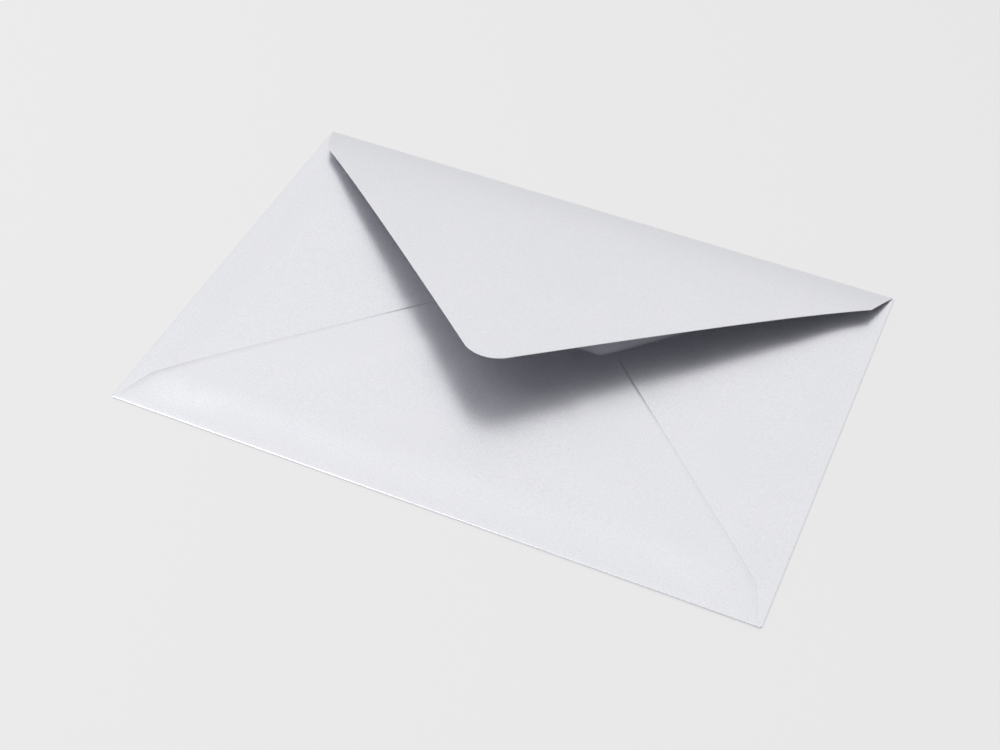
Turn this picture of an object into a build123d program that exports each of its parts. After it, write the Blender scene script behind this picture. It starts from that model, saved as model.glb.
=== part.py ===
from build123d import *
import math
import os

# A small envelope of ISO 269 size C6, folded and gummed from one sheet of pearl paper.
# Its blank is a diamond: a front panel with a pointed side flap left and right, a blunt
# bottom flap that laps over both, and a deep pointed top flap with a rounded tip.
# It lies on its front panel, and its unsealed top flap stands a little open.
#
# Millimetres. The origin is the middle of the body, on the surface that it lies on.
# +X runs along the top flap's fold, +Y points to that fold, +Z points up out of the back.

# The sheet and the pocket that it folds into.
paper_thickness = 0.16
body_width = 162.0
body_height = 114.0
pocket_gap = 0.5  # air between the front panel and the side flaps
fold_clearance = 0.1  # between the side flaps and the top flap where it folds over them
corner_clearance = 0.4  # from the end of one fold to the fold that it meets at a corner

# The bottom flap: a steep shoulder at each end, then 45 degree edges up to a straight top.
bottom_shoulder_height = 10.8
bottom_shoulder_inset = 4.5
bottom_flap_over_centre = 4.6  # from the body's centre line up to the straight top

# The side flaps: 45 degree edges to a rounded tip, the lower one under the bottom flap.
seam_lap = 10.45  # width of the gummed seam, square to its edge
side_shoulder_depth = 10.8
side_tip_radius = 6.0

# The top flap.
flap_lap = 24.5  # how far it would reach over the bottom flap when closed
flap_shoulder_depth = 8.9
flap_shoulder_inset = 3.6
flap_tip_radius = 9.0
flap_lift = 9.5  # degrees from the body to the straight line from fold to tip
flap_bow = 1.0  # how far the flap's middle stands out of that straight line

# The layers, from the resting face up. The gummed seam holds the bottom flap face to face
# on the side flaps.
side_flap_level = paper_thickness + pocket_gap
bottom_flap_level = side_flap_level + paper_thickness
body_thickness = bottom_flap_level + paper_thickness

# Each fold is a half-round turn of the sheet, with its outside on the body's outline.
half_width = body_width / 2
half_height = body_height / 2
side_fold_radius = bottom_flap_level / 2
bottom_fold_radius = body_thickness / 2
top_fold_radius = (bottom_flap_level + fold_clearance + paper_thickness) / 2
corner_relief = top_fold_radius + corner_clearance
fold_half_width = half_width - corner_relief
fold_half_height = half_height - corner_relief

# The top flap's depth, and the arc that it follows from its fold to its tip.
flap_depth = half_height - bottom_flap_over_centre + flap_lap
bow_radius = flap_depth**2 / (8 * flap_bow) + flap_bow / 2
bow_half_angle = math.degrees(math.asin(flap_depth / 2 / bow_radius))
flap_start_angle = flap_lift + bow_half_angle
trim_margin = 3.0  # by which a cutting outline overshoots what it trims


def half_round_fold(radius, length):
    """A half-round turn of the sheet along Y, centred on the origin and bulging to +X."""
    ring = Circle(radius) - Circle(radius - paper_thickness)
    outer_half = Pos(radius / 2, 0) * Rectangle(radius, 2 * radius)
    return extrude(Plane.XZ * (ring & outer_half), amount=length / 2, both=True)


def front_panel():
    """The address side, flat on the resting surface, between its four folds."""
    low = -half_height + bottom_fold_radius
    high = half_height - top_fold_radius
    reach = half_width - side_fold_radius
    outline = Polygon((-reach, low), (reach, low), (reach, high), (-reach, high), align=None)
    return extrude(outline, amount=paper_thickness)


def bottom_edge_reach(height):
    """Half the bottom flap's width where its edge is this high above its fold."""
    return half_width - bottom_shoulder_inset + bottom_shoulder_height - height


def right_side_flap():
    """The flap at +X with its fold, turned in over the front panel."""
    lap_along_x = seam_lap * math.sqrt(2)
    tip_reach = bottom_edge_reach(half_height) - lap_along_x
    shoulder_x = half_width - side_shoulder_depth
    shoulder_y = shoulder_x - tip_reach
    root_x = half_width - side_fold_radius
    outline = Polygon(
        (root_x, -fold_half_height),
        (root_x, fold_half_height),
        (shoulder_x, shoulder_y),
        (tip_reach, 0),
        (shoulder_x, -shoulder_y),
        align=None,
    )
    tip = outline.vertices().sort_by(Axis.X)[0]
    outline = fillet(tip, side_tip_radius)
    flap = Pos(0, 0, side_flap_level) * extrude(outline, amount=paper_thickness)
    fold = half_round_fold(side_fold_radius, 2 * fold_half_height)
    return flap + Pos(root_x, 0, side_fold_radius) * fold


def bottom_flap():
    """The flap turned up from the lower edge, over both side flaps."""
    root_y = -half_height + bottom_fold_radius
    shoulder_x = half_width - bottom_shoulder_inset
    shoulder_y = -half_height + bottom_shoulder_height
    top_x = bottom_edge_reach(half_height + bottom_flap_over_centre)
    outline = Polygon(
        (-fold_half_width, root_y),
        (fold_half_width, root_y),
        (shoulder_x, shoulder_y),
        (top_x, bottom_flap_over_centre),
        (-top_x, bottom_flap_over_centre),
        (-shoulder_x, shoulder_y),
        align=None,
    )
    flap = Pos(0, 0, bottom_flap_level) * extrude(outline, amount=paper_thickness)
    fold = Rot(0, 0, -90) * half_round_fold(bottom_fold_radius, 2 * fold_half_width)
    return flap + Pos(0, root_y, bottom_fold_radius) * fold


def top_flap_section():
    """The top flap and its fold in section: (y, z) outline of the bent sheet."""
    leave_angle = 90 - flap_start_angle
    turn = 180 - flap_start_angle
    bow_sweep = 2 * bow_half_angle + math.degrees(trim_margin / bow_radius)
    fold_centre = Vector(half_height - top_fold_radius, top_fold_radius)
    outward = Vector(math.cos(math.radians(leave_angle)), math.sin(math.radians(leave_angle)))
    bow_centre = fold_centre + outward * (top_fold_radius - bow_radius)
    inner_fold_radius = top_fold_radius - paper_thickness
    outer_fold = CenterArc(fold_centre, top_fold_radius, -90, turn)
    inner_fold = CenterArc(fold_centre, inner_fold_radius, -90, turn)
    outer_bow = CenterArc(bow_centre, bow_radius, leave_angle, bow_sweep)
    inner_bow = CenterArc(bow_centre, bow_radius - paper_thickness, leave_angle, bow_sweep)
    root = Line(outer_fold @ 0, inner_fold @ 0)
    end = Line(outer_bow @ 1, inner_bow @ 1)
    return make_face([root, outer_fold, outer_bow, end, inner_bow, inner_fold])


def top_flap_outline():
    """The top flap laid flat: x across, y from the fold to the tip."""
    shoulder_x = half_width - flap_shoulder_inset
    tip_centre = flap_depth - flap_tip_radius - flap_shoulder_depth
    to_tip_centre = math.hypot(shoulder_x, tip_centre)
    edge_angle = math.atan2(shoulder_x, tip_centre) - math.asin(flap_tip_radius / to_tip_centre)
    point = flap_shoulder_depth + shoulder_x / math.tan(edge_angle)
    outline = Polygon(
        (-fold_half_width, -trim_margin),
        (fold_half_width, -trim_margin),
        (fold_half_width, 0),
        (shoulder_x, flap_shoulder_depth),
        (0, point),
        (-shoulder_x, flap_shoulder_depth),
        (-fold_half_width, 0),
        align=None,
    )
    return fillet(outline.vertices().sort_by(Axis.Y)[-1], flap_tip_radius)


def top_flap():
    """The open flap: its bent section drawn out across the body, then cut to its outline."""
    sheet = extrude(Plane.YZ * top_flap_section(), amount=half_width, both=True)
    lift = math.radians(flap_lift)
    flap_plane = Plane(
        origin=(0, half_height, top_fold_radius),
        x_dir=(1, 0, 0),
        z_dir=(0, -math.sin(lift), -math.cos(lift)),
    )
    cutter = extrude(flap_plane * top_flap_outline(), amount=flap_depth, both=True)
    return sheet & cutter


right = right_side_flap()
left = mirror(right, about=Plane.YZ)
envelope = front_panel() + right + left + bottom_flap() + top_flap()
envelope.label = "envelope"

os.makedirs("parts", exist_ok=True)
export_step(envelope, "parts/envelope.step")

side_flap_depth = half_width - right.bounding_box().min.X
blank_width = side_flap_depth + body_width + side_flap_depth
blank_height = flap_depth + body_height + half_height + bottom_flap_over_centre
print("solids", len(envelope.solids()), "valid", envelope.is_valid)
print("size", envelope.bounding_box().size)
print("blank, flat:", round(blank_width, 1), "x", round(blank_height, 1))
print("sheet area, flat:", round(envelope.volume / paper_thickness), "mm2")
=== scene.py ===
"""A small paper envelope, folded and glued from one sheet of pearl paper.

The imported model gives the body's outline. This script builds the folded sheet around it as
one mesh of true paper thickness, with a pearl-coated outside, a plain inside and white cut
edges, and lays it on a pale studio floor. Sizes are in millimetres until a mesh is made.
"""

import logging
import math
from dataclasses import dataclass
from enum import Enum
from typing import Sequence

import bmesh
import bpy
import numpy as np
from mathutils import Matrix, Vector


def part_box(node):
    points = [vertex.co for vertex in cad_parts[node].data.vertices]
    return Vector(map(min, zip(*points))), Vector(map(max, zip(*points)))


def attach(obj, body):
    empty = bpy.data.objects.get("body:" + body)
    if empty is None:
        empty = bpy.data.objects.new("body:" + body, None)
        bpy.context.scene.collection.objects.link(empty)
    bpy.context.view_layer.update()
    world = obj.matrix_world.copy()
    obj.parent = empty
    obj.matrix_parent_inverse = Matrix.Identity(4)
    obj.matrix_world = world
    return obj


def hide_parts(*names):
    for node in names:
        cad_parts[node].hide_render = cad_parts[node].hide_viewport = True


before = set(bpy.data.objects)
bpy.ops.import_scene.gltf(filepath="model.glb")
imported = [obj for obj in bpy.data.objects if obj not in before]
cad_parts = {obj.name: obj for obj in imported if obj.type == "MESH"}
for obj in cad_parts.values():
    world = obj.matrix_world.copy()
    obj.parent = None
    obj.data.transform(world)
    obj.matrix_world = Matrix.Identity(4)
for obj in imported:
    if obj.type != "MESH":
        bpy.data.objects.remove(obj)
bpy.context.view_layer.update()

log = logging.getLogger("envelope")

MM = 0.001
NODE = "envelope"
BODY = "root"
STUDIO_HEADING = 21.3  # degrees from -Y toward +X that the studio is turned about the table


class Face(Enum):
    """The kinds of surface that the sheet shows, as material slots of its mesh.

    The first three follow the order that thickening the sheet needs: outside, inside, rim.
    """

    COATED = 0
    UNCOATED = 1
    CUT_EDGE = 2
    # The top flap's underside: plain paper painted darker, as painted shade under the flap.
    GUMMED = 3


class Hand(Enum):
    """Which end of the body a side flap is folded in from."""

    LEFT = -1
    RIGHT = 1


def linear_rgba(hex_colour: str) -> tuple[float, float, float, float]:
    """Turn an sRGB hex colour into linear RGBA.

    Args:
        hex_colour: Colour such as "#F2F2F4".

    Returns:
        Red, green, blue and an alpha of 1, each from 0 to 1.
    """
    digits = hex_colour.lstrip("#")
    channels = [int(digits[i : i + 2], 16) / 255 for i in (0, 2, 4)]
    # The curve and its numbers are those of the sRGB standard.
    red, green, blue = (
        c / 12.92 if c <= 0.04045 else ((c + 0.055) / 1.055) ** 2.4 for c in channels
    )
    return red, green, blue, 1.0


def add_node(
    tree: bpy.types.NodeTree,
    kind: str,
    inputs: dict[str | int, object] | None = None,
    **settings: object,
) -> bpy.types.Node:
    """Add a node, set its properties, and fill or link its inputs.

    Args:
        tree: Node tree that the node goes into.
        kind: Node type, such as "ShaderNodeBump".
        inputs: Input name or number to a plain value or to an output socket.
        **settings: Node properties, such as operation="ADD".

    Returns:
        The new node.
    """
    node = tree.nodes.new(kind)
    for name, value in settings.items():
        setattr(node, name, value)
    for name, value in (inputs or {}).items():
        if isinstance(value, bpy.types.NodeSocket):
            tree.links.new(value, node.inputs[name])
        else:
            node.inputs[name].default_value = value
    return node


def smooth_step(value: np.ndarray) -> np.ndarray:
    """Ease from 0 to 1 as value goes from 0 to 1, and stay flat outside."""
    t = np.clip(value, 0.0, 1.0)
    return t * t * (3 - 2 * t)


def new_material(name: str) -> tuple[bpy.types.Material, bpy.types.NodeTree]:
    """Make an empty node material.

    Args:
        name: The material's name.

    Returns:
        The material and its node tree.
    """
    material = bpy.data.materials.new(name)
    material.use_nodes = True
    material.node_tree.nodes.clear()
    return material, material.node_tree


# ---------------------------------------------------------------------------
# Finishes
# ---------------------------------------------------------------------------


@dataclass(frozen=True)
class PearlCoating:
    """Pearl-coated paper: mica platelets in a thin varnish, rolled onto white stock.

    The platelets lie nearly flat, so the coating mirrors the room softly, as brushed
    silver does. It is bright where it mirrors the lit cloth and dark where it mirrors the
    underside of the flap, which is in shade and also painted darker, and the platelets'
    small tilts make that change grainy.
    Mica platelets are about 0.03 mm across and paper fibres as wide. Both are drawn ten to
    twenty times coarser, because finer ones would not show.
    """

    name: str = "pearl_coated_paper"
    bright_platelet: str = "#FBFBFF"
    dull_platelet: str = "#E2E2EA"
    clear_varnish: str = "#FFFFFF"
    cloudy_varnish: str = "#FBFCFA"
    metallic: float = 1.0
    roughness: float = 0.32
    roughness_spread: float = 0.05
    fibre_width: float = 0.55
    fibre_height: float = 0.028
    fibre_detail: float = 2.0
    platelet_width: float = 0.34
    platelet_height: float = 0.016
    platelet_detail: float = 1.0
    cloud_width: float = 22.0
    cloud_detail: float = 3.0
    cloud_low: float = 0.3
    cloud_high: float = 0.7
    cockle_height: float = 0.05

    def build(self) -> bpy.types.Material:
        """Make the material.

        Returns:
            The coated paper's material.
        """
        material, tree = new_material(self.name)
        place = add_node(tree, "ShaderNodeTexCoord").outputs["Object"]
        fibres = add_node(
            tree,
            "ShaderNodeTexNoise",
            {
                "Vector": place,
                "Scale": 1 / (self.fibre_width * MM),
                "Detail": self.fibre_detail,
            },
        )
        platelets = add_node(
            tree,
            "ShaderNodeTexNoise",
            {
                "Vector": place,
                "Scale": 1 / (self.platelet_width * MM),
                "Detail": self.platelet_detail,
            },
        )
        clouds = add_node(
            tree,
            "ShaderNodeTexNoise",
            {
                "Vector": place,
                "Scale": 1 / (self.cloud_width * MM),
                "Detail": self.cloud_detail,
            },
        )
        fibre_bump = add_node(
            tree,
            "ShaderNodeBump",
            {"Height": fibres.outputs["Fac"], "Distance": self.fibre_height * MM},
        )
        cockle_bump = add_node(
            tree,
            "ShaderNodeBump",
            {
                "Height": clouds.outputs["Fac"],
                "Distance": self.cockle_height * MM,
                "Normal": fibre_bump.outputs["Normal"],
            },
        )
        bump = add_node(
            tree,
            "ShaderNodeBump",
            {
                "Height": platelets.outputs["Fac"],
                "Distance": self.platelet_height * MM,
                "Normal": cockle_bump.outputs["Normal"],
            },
        )
        specks = add_node(
            tree,
            "ShaderNodeMix",
            {
                "Factor": platelets.outputs["Fac"],
                "A": linear_rgba(self.bright_platelet),
                "B": linear_rgba(self.dull_platelet),
            },
            data_type="RGBA",
        )
        varnish = add_node(
            tree,
            "ShaderNodeMix",
            {
                "Factor": clouds.outputs["Fac"],
                "A": linear_rgba(self.clear_varnish),
                "B": linear_rgba(self.cloudy_varnish),
            },
            data_type="RGBA",
        )
        tint = add_node(
            tree,
            "ShaderNodeMix",
            {"Factor": 1.0, "A": specks.outputs["Result"], "B": varnish.outputs["Result"]},
            data_type="RGBA",
            blend_type="MULTIPLY",
        )
        gloss = add_node(
            tree,
            "ShaderNodeMapRange",
            {
                "Value": clouds.outputs["Fac"],
                "From Min": self.cloud_low,
                "From Max": self.cloud_high,
                "To Min": self.roughness - self.roughness_spread / 2,
                "To Max": self.roughness + self.roughness_spread / 2,
            },
        )
        shader = add_node(
            tree,
            "ShaderNodeBsdfPrincipled",
            {
                "Base Color": tint.outputs["Result"],
                "Metallic": self.metallic,
                "Roughness": gloss.outputs["Result"],
                "Normal": bump.outputs["Normal"],
            },
        )
        add_node(tree, "ShaderNodeOutputMaterial", {"Surface": shader.outputs["BSDF"]})
        return material


@dataclass(frozen=True)
class PlainPaper:
    """Wood-free paper without the pearl coating: bare, painted darker as shade, or bared by the
    knife.

    Its fibres scatter light evenly, so it stays a quiet grey where it is shaded, with none
    of the pearl side's gloss. Under the top flap it is painted darker, as painted shade that
    the pearl body mirrors there, and drawn a little smoother.
    The fibres are drawn coarser than their 0.03 mm, because finer ones would not show.
    """

    name: str = "uncoated_paper"
    colour: str = "#DADADF"
    roughness: float = 0.85
    ior: float = 1.47
    fibre_width: float = 0.5
    fibre_height: float = 0.02
    fibre_detail: float = 3.0

    def build(self) -> bpy.types.Material:
        """Make the material.

        Returns:
            The plain paper's material.
        """
        material, tree = new_material(self.name)
        place = add_node(tree, "ShaderNodeTexCoord").outputs["Object"]
        fibres = add_node(
            tree,
            "ShaderNodeTexNoise",
            {
                "Vector": place,
                "Scale": 1 / (self.fibre_width * MM),
                "Detail": self.fibre_detail,
            },
        )
        bump = add_node(
            tree,
            "ShaderNodeBump",
            {"Height": fibres.outputs["Fac"], "Distance": self.fibre_height * MM},
        )
        shader = add_node(
            tree,
            "ShaderNodeBsdfPrincipled",
            {
                "Base Color": linear_rgba(self.colour),
                "Roughness": self.roughness,
                "IOR": self.ior,
                "Normal": bump.outputs["Normal"],
            },
        )
        add_node(tree, "ShaderNodeOutputMaterial", {"Surface": shader.outputs["BSDF"]})
        return material


@dataclass(frozen=True)
class LitAcrylic:
    """Opal acrylic sheet, lit evenly from below: a pale ground that shows next to no shadow."""

    name: str = "lit_opal_acrylic"
    colour: str = "#8C8C8C"
    glow_colour: str = "#FFFFFF"
    glow: float = 0.55
    roughness: float = 0.9

    def build(self) -> bpy.types.Material:
        """Make the material.

        Returns:
            The lit acrylic's material.
        """
        material, tree = new_material(self.name)
        shader = add_node(
            tree,
            "ShaderNodeBsdfPrincipled",
            {
                "Base Color": linear_rgba(self.colour),
                "Roughness": self.roughness,
                "Specular IOR Level": 0.0,
                "Emission Color": linear_rgba(self.glow_colour),
                "Emission Strength": self.glow,
            },
        )
        add_node(tree, "ShaderNodeOutputMaterial", {"Surface": shader.outputs["BSDF"]})
        return material


# ---------------------------------------------------------------------------
# The sheet
# ---------------------------------------------------------------------------


@dataclass(frozen=True)
class Ripple:
    """A soft ridge, or a trough where its height is negative, in a glued flap."""

    x: float
    y: float
    heading: float
    half_length: float
    half_width: float
    height: float

    def lift(self, x: np.ndarray, y: np.ndarray) -> np.ndarray:
        """Work out the height that the ripple adds.

        Args:
            x: Places along the body, in millimetres.
            y: Places up the body, in millimetres.

        Returns:
            The added height at each place.
        """
        turn = math.radians(self.heading)
        along = (x - self.x) * math.cos(turn) + (y - self.y) * math.sin(turn)
        across = (y - self.y) * math.cos(turn) - (x - self.x) * math.sin(turn)
        spread = (along / self.half_length) ** 2 + (across / self.half_width) ** 2
        return self.height * np.exp(-spread)


@dataclass(frozen=True)
class Body:
    """The folded body's outline and layers, shared by its panel and flaps."""

    half_width: float
    half_height: float
    paper: float = 0.16
    pinched_gap: float = 0.06
    pocket_gap: float = 0.9
    hairline: float = 0.02
    roll_width: float = 14.0
    corner_relief: float = 0.45
    columns: int = 96
    rows: int = 68
    fold_steps: int = 12

    @property
    def panel_level(self) -> float:
        """Height of the middle of the front panel's paper."""
        return self.paper / 2

    @property
    def side_root_level(self) -> float:
        """Height of the middle of a side flap's paper at its fold."""
        return self.panel_level + self.paper + self.pinched_gap

    @property
    def upper_root_level(self) -> float:
        """Height of the middle of the bottom or top flap's paper at its fold."""
        return self.side_root_level + self.paper + self.hairline

    @property
    def side_turn(self) -> float:
        """Radius of the side folds at the middle of the paper."""
        return (self.side_root_level - self.panel_level) / 2

    @property
    def upper_turn(self) -> float:
        """Radius of the bottom and top folds at the middle of the paper."""
        return (self.upper_root_level - self.panel_level) / 2

    @property
    def flat_x(self) -> float:
        """Where the side folds start to turn."""
        return self.half_width - self.side_turn - self.paper / 2

    @property
    def flat_y(self) -> float:
        """Where the bottom and top folds start to turn."""
        return self.half_height - self.upper_turn - self.paper / 2

    @property
    def fold_x(self) -> np.ndarray:
        """Columns along the bottom and top folds."""
        reach = self.half_width - self.corner_relief
        return np.linspace(-reach, reach, self.columns + 1)

    @property
    def fold_y(self) -> np.ndarray:
        """Rows along the side folds."""
        reach = self.half_height - self.corner_relief
        return np.linspace(-reach, reach, self.rows + 1)

    def loft(self, x: np.ndarray, y: np.ndarray) -> np.ndarray:
        """Work out how far the pocket springs open.

        Args:
            x: Places along the body.
            y: Places up the body.

        Returns:
            A share for each place: 0 at the folds and 1 in the pocket's middle.
        """
        from_sides = smooth_step((self.flat_x - np.abs(x)) / self.roll_width)
        from_ends = smooth_step((self.flat_y - np.abs(y)) / self.roll_width)
        return from_sides * from_ends


def turn_points(
    root: np.ndarray, outward: Sequence[float], radius: float, sweep: float, steps: int
) -> np.ndarray:
    """Turn a line of points upward about a fold.

    Args:
        root: Points along the line where the fold starts, in order.
        outward: Unit vector that the paper heads in as it enters the fold.
        radius: Radius of the turn at the middle of the paper.
        sweep: Angle turned, in radians.
        steps: Number of strips across the fold.

    Returns:
        Rows of points, from the root row to the end of the turn.
    """
    angles = np.linspace(0.0, sweep, steps + 1)
    ahead = np.asarray(outward, float)
    up = np.array([0.0, 0.0, 1.0])
    offsets = [radius * (math.sin(a) * ahead + (1 - math.cos(a)) * up) for a in angles]
    return np.stack([root + offset for offset in offsets])


@dataclass(frozen=True)
class FrontPanel:
    """The address side, flat on the ground, with the folds on its four edges."""

    body: Body

    def grids(self) -> list[np.ndarray]:
        """Lay out the flat panel.

        Returns:
            One grid of points, with a row and a column at each line of the folds.
        """
        body = self.body
        x = np.concatenate([[-body.flat_x], body.fold_x, [body.flat_x]])
        y = np.concatenate([[-body.flat_y], body.fold_y, [body.flat_y]])
        across, up = np.meshgrid(x, y)
        return [np.stack([across, up, np.full_like(across, body.panel_level)], axis=-1)]


@dataclass(frozen=True)
class PointedOutline:
    """Half of a flap's cut outline: a shoulder, a straight edge and a rounded tip."""

    root_reach: float
    shoulder_depth: float
    shoulder_reach: float
    depth: float
    tip_radius: float
    row_pitch: float = 1.7
    tip_rows: int = 14
    fewest_rows: int = 3

    def rows(self) -> tuple[np.ndarray, np.ndarray]:
        """Divide the outline into rows, from the fold to the tip.

        Returns:
            The depth of each row and its half-width.
        """
        tip_centre = self.depth - self.tip_radius
        ahead = tip_centre - self.shoulder_depth
        distance = math.hypot(self.shoulder_reach, ahead)
        slant = math.atan2(self.shoulder_reach, ahead) - math.asin(self.tip_radius / distance)
        tangent_depth = tip_centre + self.tip_radius * math.sin(slant)
        tangent_reach = self.tip_radius * math.cos(slant)
        shoulder_rows = max(self.fewest_rows, round(self.shoulder_depth / self.row_pitch))
        edge_rows = round((tangent_depth - self.shoulder_depth) / self.row_pitch)
        to_shoulder = np.linspace(0.0, self.shoulder_depth, shoulder_rows, endpoint=False)
        to_tangent = np.linspace(self.shoulder_depth, tangent_depth, edge_rows, endpoint=False)
        swing = np.linspace(slant, math.pi / 2, self.tip_rows)
        depths = np.concatenate(
            [to_shoulder, to_tangent, tip_centre + self.tip_radius * np.sin(swing)]
        )
        corners = [0.0, self.shoulder_depth, tangent_depth]
        reaches = [self.root_reach, self.shoulder_reach, tangent_reach]
        straight = np.interp(depths[: -self.tip_rows], corners, reaches)
        return depths, np.concatenate([straight, self.tip_radius * np.cos(swing)])


@dataclass(frozen=True)
class SideFlap:
    """A pointed flap folded in from one end of the body, under the bottom flap."""

    body: Body
    hand: Hand
    tip_reach: float = 15.5
    shoulder_depth: float = 10.8
    tip_radius: float = 6.0
    ripples: tuple[Ripple, ...] = ()

    def level(self, x: np.ndarray, y: np.ndarray) -> np.ndarray:
        """Work out the height of the middle of the flap's paper.

        Args:
            x: Places along the body.
            y: Places up the body.

        Returns:
            The height at each place.
        """
        body = self.body
        spring = (body.pocket_gap - body.pinched_gap) * body.loft(x, y)
        waves = sum((r.lift(x, y) for r in self.ripples), np.zeros_like(x))
        return body.side_root_level + spring + waves * body.loft(x, y)

    def outline(self) -> PointedOutline:
        """Work out the flap's cut outline.

        Returns:
            The outline, its depth counted from where the fold starts.
        """
        body = self.body
        shoulder_x = body.half_width - self.shoulder_depth
        tip_x = self.tip_reach + self.tip_radius * (math.sqrt(2) - 1)
        return PointedOutline(
            root_reach=body.half_height - body.corner_relief,
            shoulder_depth=body.flat_x - shoulder_x,
            shoulder_reach=shoulder_x - self.tip_reach,
            depth=body.flat_x - tip_x,
            tip_radius=self.tip_radius,
        )

    def grids(self) -> list[np.ndarray]:
        """Lay out the fold and the flap.

        Returns:
            A grid of points for the fold and one for the flap.
        """
        body, sign = self.body, self.hand.value
        flat = np.full(body.rows + 1, sign * body.flat_x)
        root = np.stack([flat, body.fold_y, np.full(body.rows + 1, body.panel_level)], axis=-1)
        fold = turn_points(root, (sign, 0, 0), body.side_turn, math.pi, body.fold_steps)
        depths, reaches = self.outline().rows()
        shares = np.linspace(-1.0, 1.0, body.rows + 1)
        y = reaches[:, None] * shares[None, :]
        x = sign * (body.flat_x - depths[:, None]) * np.ones_like(y)
        return [fold, np.stack([x, y, self.level(x, y)], axis=-1)]


@dataclass(frozen=True)
class BottomFlap:
    """The blunt flap turned up from the lower edge and glued over both side flaps.

    It drapes over the hidden edges of the side flaps, and its own cut edges are pressed
    down by the folding machine, which draws each seam as a thin grey line. They are pressed
    deeper than real ones, into the paper beneath, because a truer depth would not show.
    """

    body: Body
    beneath: SideFlap
    shoulder_height: float = 10.8
    shoulder_inset: float = 4.5
    top_y: float = 4.6
    row_pitch: float = 1.7
    pressed_width: float = 0.45
    pressed_depth: float = 0.19
    drape_depth: float = 0.24
    drape_width: float = 8.0
    root_fade: float = 9.0
    press_fade: float = 3.0

    def drape(self, x: np.ndarray, y: np.ndarray) -> np.ndarray:
        """Work out how far the flap sinks where no side flap lies under it.

        Args:
            x: Places along the body.
            y: Places up the body.

        Returns:
            The depth sunk at each place.
        """
        hidden_edge = self.beneath.tip_reach
        over_right = smooth_step(1 + (x + y - hidden_edge) / math.sqrt(2) / self.drape_width)
        over_left = smooth_step(1 + (y - x - hidden_edge) / math.sqrt(2) / self.drape_width)
        from_root = smooth_step((y + self.body.flat_y) / self.root_fade)
        return self.drape_depth * (1 - over_right) * (1 - over_left) * from_root

    def grids(self) -> list[np.ndarray]:
        """Lay out the fold and the flap.

        Returns:
            A grid of points for the fold and one for the flap.
        """
        body = self.body
        flat = np.full(body.columns + 1, -body.flat_y)
        level = np.full(body.columns + 1, body.panel_level)
        root = np.stack([body.fold_x, flat, level], axis=-1)
        fold = turn_points(root, (0, -1, 0), body.upper_turn, math.pi, body.fold_steps)
        shoulder_y = self.shoulder_height - body.half_height
        shoulder_x = body.half_width - self.shoulder_inset
        top_x = shoulder_x - (self.top_y - shoulder_y)
        low_rows = round(self.shoulder_height / self.row_pitch)
        high_rows = round((self.top_y - shoulder_y) / self.row_pitch)
        y = np.concatenate(
            [
                np.linspace(-body.flat_y, shoulder_y, low_rows, endpoint=False),
                np.linspace(shoulder_y, self.top_y, high_rows + 1),
            ]
        )
        reach = np.interp(
            y, [-body.flat_y, shoulder_y, self.top_y], [body.fold_x[-1], shoulder_x, top_x]
        )
        x = reach[:, None] * np.linspace(-1.0, 1.0, body.columns + 1)[None, :]
        pressed = smooth_step((y + body.flat_y) / self.press_fade)
        inner = reach - self.pressed_width * math.sqrt(2)
        x[:, 1] += pressed * (-inner - x[:, 1])
        x[:, -2] += pressed * (inner - x[:, -2])
        y = y[:, None] * np.ones_like(x)
        z = self.beneath.level(x, y) + body.paper + body.hairline - self.drape(x, y)
        z[:, [0, -1]] -= self.pressed_depth * pressed[:, None]
        return [fold, np.stack([x, y, z], axis=-1)]


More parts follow.
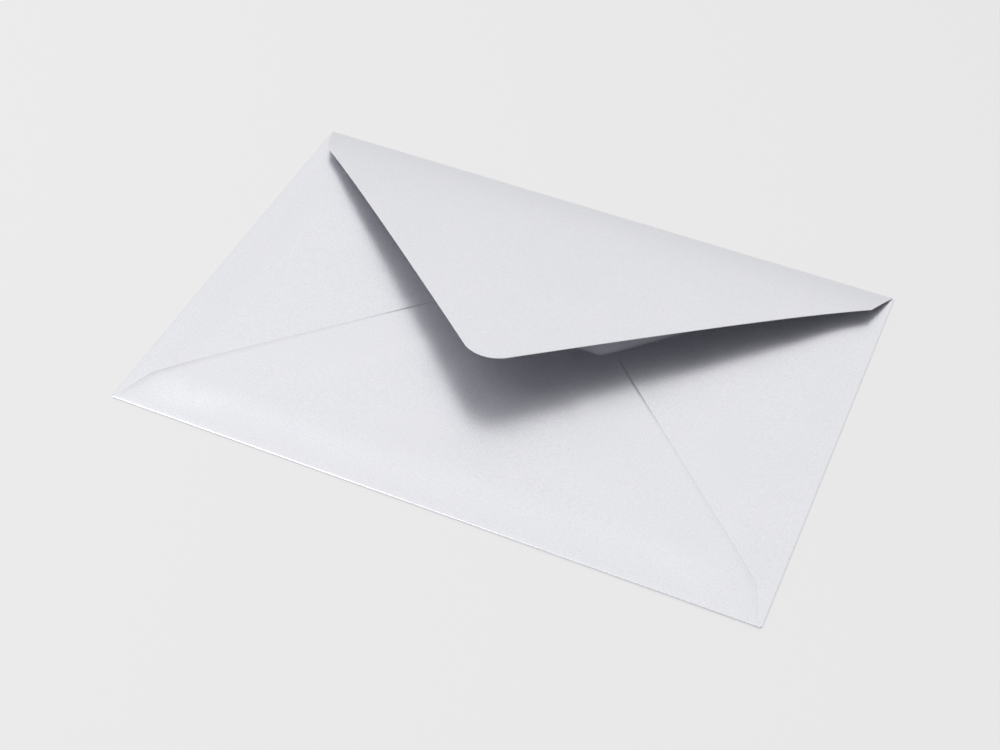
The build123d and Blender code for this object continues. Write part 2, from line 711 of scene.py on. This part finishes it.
@dataclass(frozen=True)
class TopFlap:
    """The deep pointed flap, unsealed and standing a little open.

    It springs up at its fold, then runs nearly straight to its tip. It was folded a hair
    out of square, so its tip sits a little left of the middle.
    """

    body: Body
    depth: float = 76.9
    shoulder_depth: float = 10.1
    shoulder_reach: float = 77.2
    tip_radius: float = 8.4
    edge_hollow: float = 0.3
    lift: float = 7.35
    fold_spring: float = 13.0
    spring_reach: float = 14.0
    skew: float = -0.019
    profile_steps: int = 400

    @property
    def lift_at_fold(self) -> float:
        """Angle between the flap and the body where the fold ends."""
        return self.lift + self.fold_spring

    def profile(self, depths: np.ndarray) -> tuple[np.ndarray, np.ndarray]:
        """Follow the bent flap from its fold.

        Args:
            depths: Distances along the paper from the end of the fold.

        Returns:
            How far back over the body and how far up each distance comes.
        """
        along = np.linspace(0.0, self.depth, self.profile_steps + 1)
        middles = (along[1:] + along[:-1]) / 2
        step = self.depth / self.profile_steps
        angle = np.radians(self.lift + self.fold_spring * np.exp(-middles / self.spring_reach))
        back = np.concatenate([[0.0], np.cumsum(step * np.cos(angle))])
        up = np.concatenate([[0.0], np.cumsum(step * np.sin(angle))])
        return np.interp(depths, along, back), np.interp(depths, along, up)

    def grids(self) -> list[np.ndarray]:
        """Lay out the fold and the flap.

        Returns:
            A grid of points for the fold and one for the flap.
        """
        body = self.body
        flat = np.full(body.columns + 1, body.flat_y)
        level = np.full(body.columns + 1, body.panel_level)
        root = np.stack([body.fold_x, flat, level], axis=-1)
        sweep = math.pi - math.radians(self.lift_at_fold)
        fold = turn_points(root, (0, 1, 0), body.upper_turn, sweep, body.fold_steps)
        outline = PointedOutline(
            body.fold_x[-1], self.shoulder_depth, self.shoulder_reach, self.depth, self.tip_radius
        )
        depths, reaches = outline.rows()
        share = np.clip(
            (depths - self.shoulder_depth) / (self.depth - self.shoulder_depth), 0.0, 1.0
        )
        hollow = 4 * share * (1 - share)  # a parabola that is 1 in the middle of the edge
        reaches = np.maximum(reaches - self.edge_hollow * hollow, 0.0)
        back, up = self.profile(depths)
        start = fold[-1, 0]
        x = reaches[:, None] * np.linspace(-1.0, 1.0, body.columns + 1)[None, :]
        x = x + self.skew * depths[:, None]
        y = (start[1] - back)[:, None] * np.ones_like(x)
        z = (start[2] + up)[:, None] * np.ones_like(x)
        return [fold, np.stack([x, y, z], axis=-1)]


@dataclass
class Envelope:
    """The whole folded sheet: one blank, so one piece."""

    body: Body
    coating: PearlCoating
    inside: PlainPaper
    # Plain paper painted darker for the top flap's underside: painted shade under the flap.
    underside_painted_shade: PlainPaper
    edge: PlainPaper
    ripples: tuple[Ripple, ...]
    weld_distance: float = 0.002
    sharp_angle: float = 50.0
    top_flap_layer: str = "on_top_flap"

    def grids(self) -> list[np.ndarray]:
        """Lay out every part of the folded blank.

        Returns:
            Grids of points, that of the top flap last.
        """
        right = SideFlap(self.body, Hand.RIGHT, ripples=self.ripples)
        left = SideFlap(self.body, Hand.LEFT, ripples=self.ripples)
        bottom = BottomFlap(self.body, beneath=right)
        parts = [FrontPanel(self.body), right, left, bottom, TopFlap(self.body)]
        return [grid for part in parts for grid in part.grids()]

    def mid_surface(self) -> bpy.types.Mesh:
        """Weld the grids into one sheet with no thickness, its coated face outward.

        Returns:
            The sheet's mesh, in metres, with the top flap's faces marked.
        """
        shape = bmesh.new()
        on_top_flap = shape.faces.layers.int.new(self.top_flap_layer)
        grids = self.grids()
        for grid in grids:
            rows, columns = grid.shape[:2]
            points = [[shape.verts.new(Vector(p) * MM) for p in row] for row in grid]
            for i in range(rows - 1):
                for j in range(columns - 1):
                    corners = (
                        points[i][j],
                        points[i][j + 1],
                        points[i + 1][j + 1],
                        points[i + 1][j],
                    )
                    shape.faces.new(corners)[on_top_flap] = int(grid is grids[-1])
        bmesh.ops.remove_doubles(shape, verts=shape.verts, dist=self.weld_distance * MM)
        bmesh.ops.recalc_face_normals(shape, faces=shape.faces)
        shape.faces.ensure_lookup_table()
        lowest = min(shape.faces, key=lambda f: f.calc_center_median().z)
        if lowest.normal.z > 0:
            bmesh.ops.reverse_faces(shape, faces=shape.faces)
        mesh = bpy.data.meshes.new("pearl_sheet")
        shape.to_mesh(mesh)
        shape.free()
        return mesh

    def build(self) -> bpy.types.Object:
        """Thicken the sheet, dress it and put it in the frame in place of the CAD solid.

        Returns:
            The finished sheet.
        """
        sheet = bpy.data.objects.new("envelope_sheet", self.mid_surface())
        bpy.context.scene.collection.objects.link(sheet)
        finishes = {
            Face.COATED: self.coating.build(),
            Face.UNCOATED: self.inside.build(),
            Face.CUT_EDGE: self.edge.build(),
            Face.GUMMED: self.underside_painted_shade.build(),
        }
        for face in Face:
            sheet.data.materials.append(finishes[face])
        thicken = sheet.modifiers.new("paper", "SOLIDIFY")
        thicken.thickness = self.body.paper * MM
        thicken.offset = 0.0
        thicken.use_even_offset = True
        thicken.material_offset = Face.UNCOATED.value
        thicken.material_offset_rim = Face.CUT_EDGE.value
        self.apply_modifiers(sheet)
        self.paint_underside_shade(sheet.data)
        sheet.data.shade_smooth()
        sheet.data.set_sharp_from_angle(angle=math.radians(self.sharp_angle))
        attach(sheet, BODY)
        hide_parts(NODE)
        return sheet

    def paint_underside_shade(self, mesh: bpy.types.Mesh) -> None:
        """Paint the inside of the top flap darker, as painted shade under the flap.

        Args:
            mesh: The thickened sheet, whose marks are removed.
        """
        on_top_flap = mesh.attributes[self.top_flap_layer]
        for face, mark in zip(mesh.polygons, on_top_flap.data):
            if mark.value and face.material_index == Face.UNCOATED.value:
                face.material_index = Face.GUMMED.value
        mesh.attributes.remove(on_top_flap)

    def apply_modifiers(self, piece: bpy.types.Object) -> None:
        """Bake a piece's modifiers into its mesh.

        Args:
            piece: The object whose mesh is replaced.
        """
        graph = bpy.context.evaluated_depsgraph_get()
        baked = bpy.data.meshes.new_from_object(piece.evaluated_get(graph))
        piece.modifiers.clear()
        piece.data = baked


# ---------------------------------------------------------------------------
# The studio
# ---------------------------------------------------------------------------


@dataclass(frozen=True)
class StudioFloor:
    """A wide pale floor under the envelope."""

    surface: LitAcrylic
    half_size: float = 3000.0

    def build(self) -> bpy.types.Object:
        """Make the floor at the height that the envelope rests on.

        Returns:
            The floor.
        """
        reach = self.half_size * MM
        corners = [(-reach, -reach, 0), (reach, -reach, 0), (reach, reach, 0), (-reach, reach, 0)]
        mesh = bpy.data.meshes.new("studio_floor")
        mesh.from_pydata(corners, [], [(0, 1, 2, 3)])
        mesh.materials.append(self.surface.build())
        floor = bpy.data.objects.new("studio_floor", mesh)
        bpy.context.scene.collection.objects.link(floor)
        return floor


def studio_direction(swing: float, elevation: float) -> Vector:
    """Point a unit vector from the envelope toward part of the studio.

    Args:
        swing: Degrees to the right of the wall that the camera faces.
        elevation: Degrees above the floor.

    Returns:
        The unit vector.
    """
    turn = math.radians(STUDIO_HEADING + 90 - swing)
    rise = math.radians(elevation)
    return Vector(
        (math.cos(rise) * math.cos(turn), math.cos(rise) * math.sin(turn), math.sin(rise))
    )


@dataclass(frozen=True)
class StudioDome:
    """A wide white cloth hung behind and over the table, falling off to the dimmer room.

    Its broad, even glow is what the pearl coating mirrors. The walls behind the camera are
    about half as bright. Seen from the table's far side the coating mirrors them, as a mid
    grey, and their light makes the dark under the flap less deep.
    """

    swing: float = 8.3
    elevation: float = 53.5
    colour: str = "#FFFFFF"
    strength: float = 0.915
    room: float = 0.5
    fade_start: float = 0.293
    fade_end: float = 0.96

    def build(self) -> None:
        """Make the world shader."""
        world = bpy.data.worlds.new("studio_dome")
        bpy.context.scene.world = world
        world.use_nodes = True
        tree = world.node_tree
        tree.nodes.clear()
        brightest = tuple(studio_direction(self.swing, self.elevation))
        direction = add_node(tree, "ShaderNodeTexCoord").outputs["Generated"]
        facing = add_node(
            tree, "ShaderNodeVectorMath", {0: direction, 1: brightest}, operation="DOT_PRODUCT"
        )
        strength = add_node(
            tree,
            "ShaderNodeMapRange",
            {
                "Value": facing.outputs["Value"],
                "From Min": self.fade_start,
                "From Max": self.fade_end,
                "To Min": self.room,
                "To Max": self.strength,
            },
            interpolation_type="SMOOTHSTEP",
        )
        shade = add_node(
            tree,
            "ShaderNodeBackground",
            {"Color": linear_rgba(self.colour), "Strength": strength.outputs["Result"]},
        )
        add_node(tree, "ShaderNodeOutputWorld", {"Surface": shade.outputs["Background"]})


@dataclass(frozen=True)
class Softbox:
    """A round softbox high on the left, whose light reaches in under the flap."""

    swing: float = -90.2
    elevation: float = 53.3
    half_angle: float = 17.5
    distance: float = 1200.0
    colour: str = "#FFFFFF"
    radiance: float = 4.5

    def build(self) -> bpy.types.Object:
        """Make the light and turn it toward the envelope.

        Returns:
            The light.
        """
        radius = self.distance * MM * math.tan(math.radians(self.half_angle))
        data = bpy.data.lights.new("softbox", "AREA")
        data.shape = "DISK"
        data.size = 2 * radius
        area = math.pi * radius**2
        data.energy = math.pi * area * self.radiance  # what an evenly bright flat lamp gives off
        data.color = linear_rgba(self.colour)[:3]
        softbox = bpy.data.objects.new("softbox", data)
        bpy.context.scene.collection.objects.link(softbox)
        away = studio_direction(self.swing, self.elevation)
        softbox.location = away * self.distance * MM
        softbox.rotation_euler = away.to_track_quat("Z", "Y").to_euler()
        return softbox


@dataclass(frozen=True)
class StudioCamera:
    """A short telephoto camera that looks down on the envelope from in front."""

    aim: tuple[float, float, float] = (0.2, -11.2, 0.5)
    heading: float = 21.85
    elevation: float = 45.5
    distance: float = 415.8
    roll: float = 2.32
    lens: float = 61.6
    sensor: float = 36.0
    nearest: float = 10.0
    farthest: float = 20000.0

    def build(self) -> bpy.types.Object:
        """Make the camera and make it the scene's.

        Returns:
            The camera.
        """
        turn, rise = math.radians(self.heading), math.radians(self.elevation)
        forward = Vector(
            (
                -math.sin(turn) * math.cos(rise),
                math.cos(turn) * math.cos(rise),
                -math.sin(rise),
            )
        )
        data = bpy.data.cameras.new("studio_camera")
        data.lens = self.lens
        data.sensor_width = self.sensor
        data.clip_start = self.nearest * MM
        data.clip_end = self.farthest * MM
        camera = bpy.data.objects.new("studio_camera", data)
        bpy.context.scene.collection.objects.link(camera)
        place = (Vector(self.aim) - forward * self.distance) * MM
        level = forward.to_track_quat("-Z", "Y").to_matrix().to_4x4()
        camera.matrix_world = (
            Matrix.Translation(place) @ level @ Matrix.Rotation(math.radians(self.roll), 4, "Z")
        )
        bpy.context.scene.camera = camera
        return camera


def body_from_frame() -> Body:
    """Read the body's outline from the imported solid, whose base is centred on the origin."""
    low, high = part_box(NODE)
    return Body(half_width=(high.x - low.x) / 2 / MM, half_height=(high.y - low.y) / 2 / MM)


def main() -> None:
    """Build the envelope, then the studio around it."""
    logging.basicConfig(level=logging.INFO, format="%(name)s: %(message)s")
    bpy.context.scene.view_settings.view_transform = "Standard"
    envelope = Envelope(
        body=body_from_frame(),
        coating=PearlCoating(),
        inside=PlainPaper(name="uncoated_paper", colour="#F4F6FF"),
        underside_painted_shade=PlainPaper(name="flap_underside_painted_shade", colour="#B0B0B6", roughness=0.5),
        # The top flap's underside is painted darker: painted shade that the pearl body mirrors
        # under the flap.
        edge=PlainPaper(name="cut_paper_edge", colour="#FAFAFC"),
        ripples=(
            Ripple(x=58.0, y=-15.0, heading=-65, half_length=16, half_width=7, height=0.16),
            Ripple(x=-52.0, y=-36.0, heading=35, half_length=14, half_width=7, height=-0.16),
            Ripple(x=38.5, y=-34.0, heading=-42, half_length=20, half_width=6, height=0.28),
            Ripple(x=-13.0, y=-37.0, heading=10, half_length=10, half_width=6, height=-0.14),
            Ripple(x=-16.0, y=-50.0, heading=0, half_length=22, half_width=5, height=0.08),
        ),
    )
    sheet = envelope.build()
    log.info("%s: %d faces", sheet.name, len(sheet.data.polygons))
    floor = StudioFloor(LitAcrylic()).build()
    log.info("%s: stage", floor.name)
    StudioDome().build()
    softbox = Softbox().build()
    log.info("%s: %.1f W", softbox.name, softbox.data.energy)
    camera = StudioCamera().build()
    log.info("%s: %.1f mm lens", camera.name, camera.data.lens)


if __name__ == "__main__":
    main()
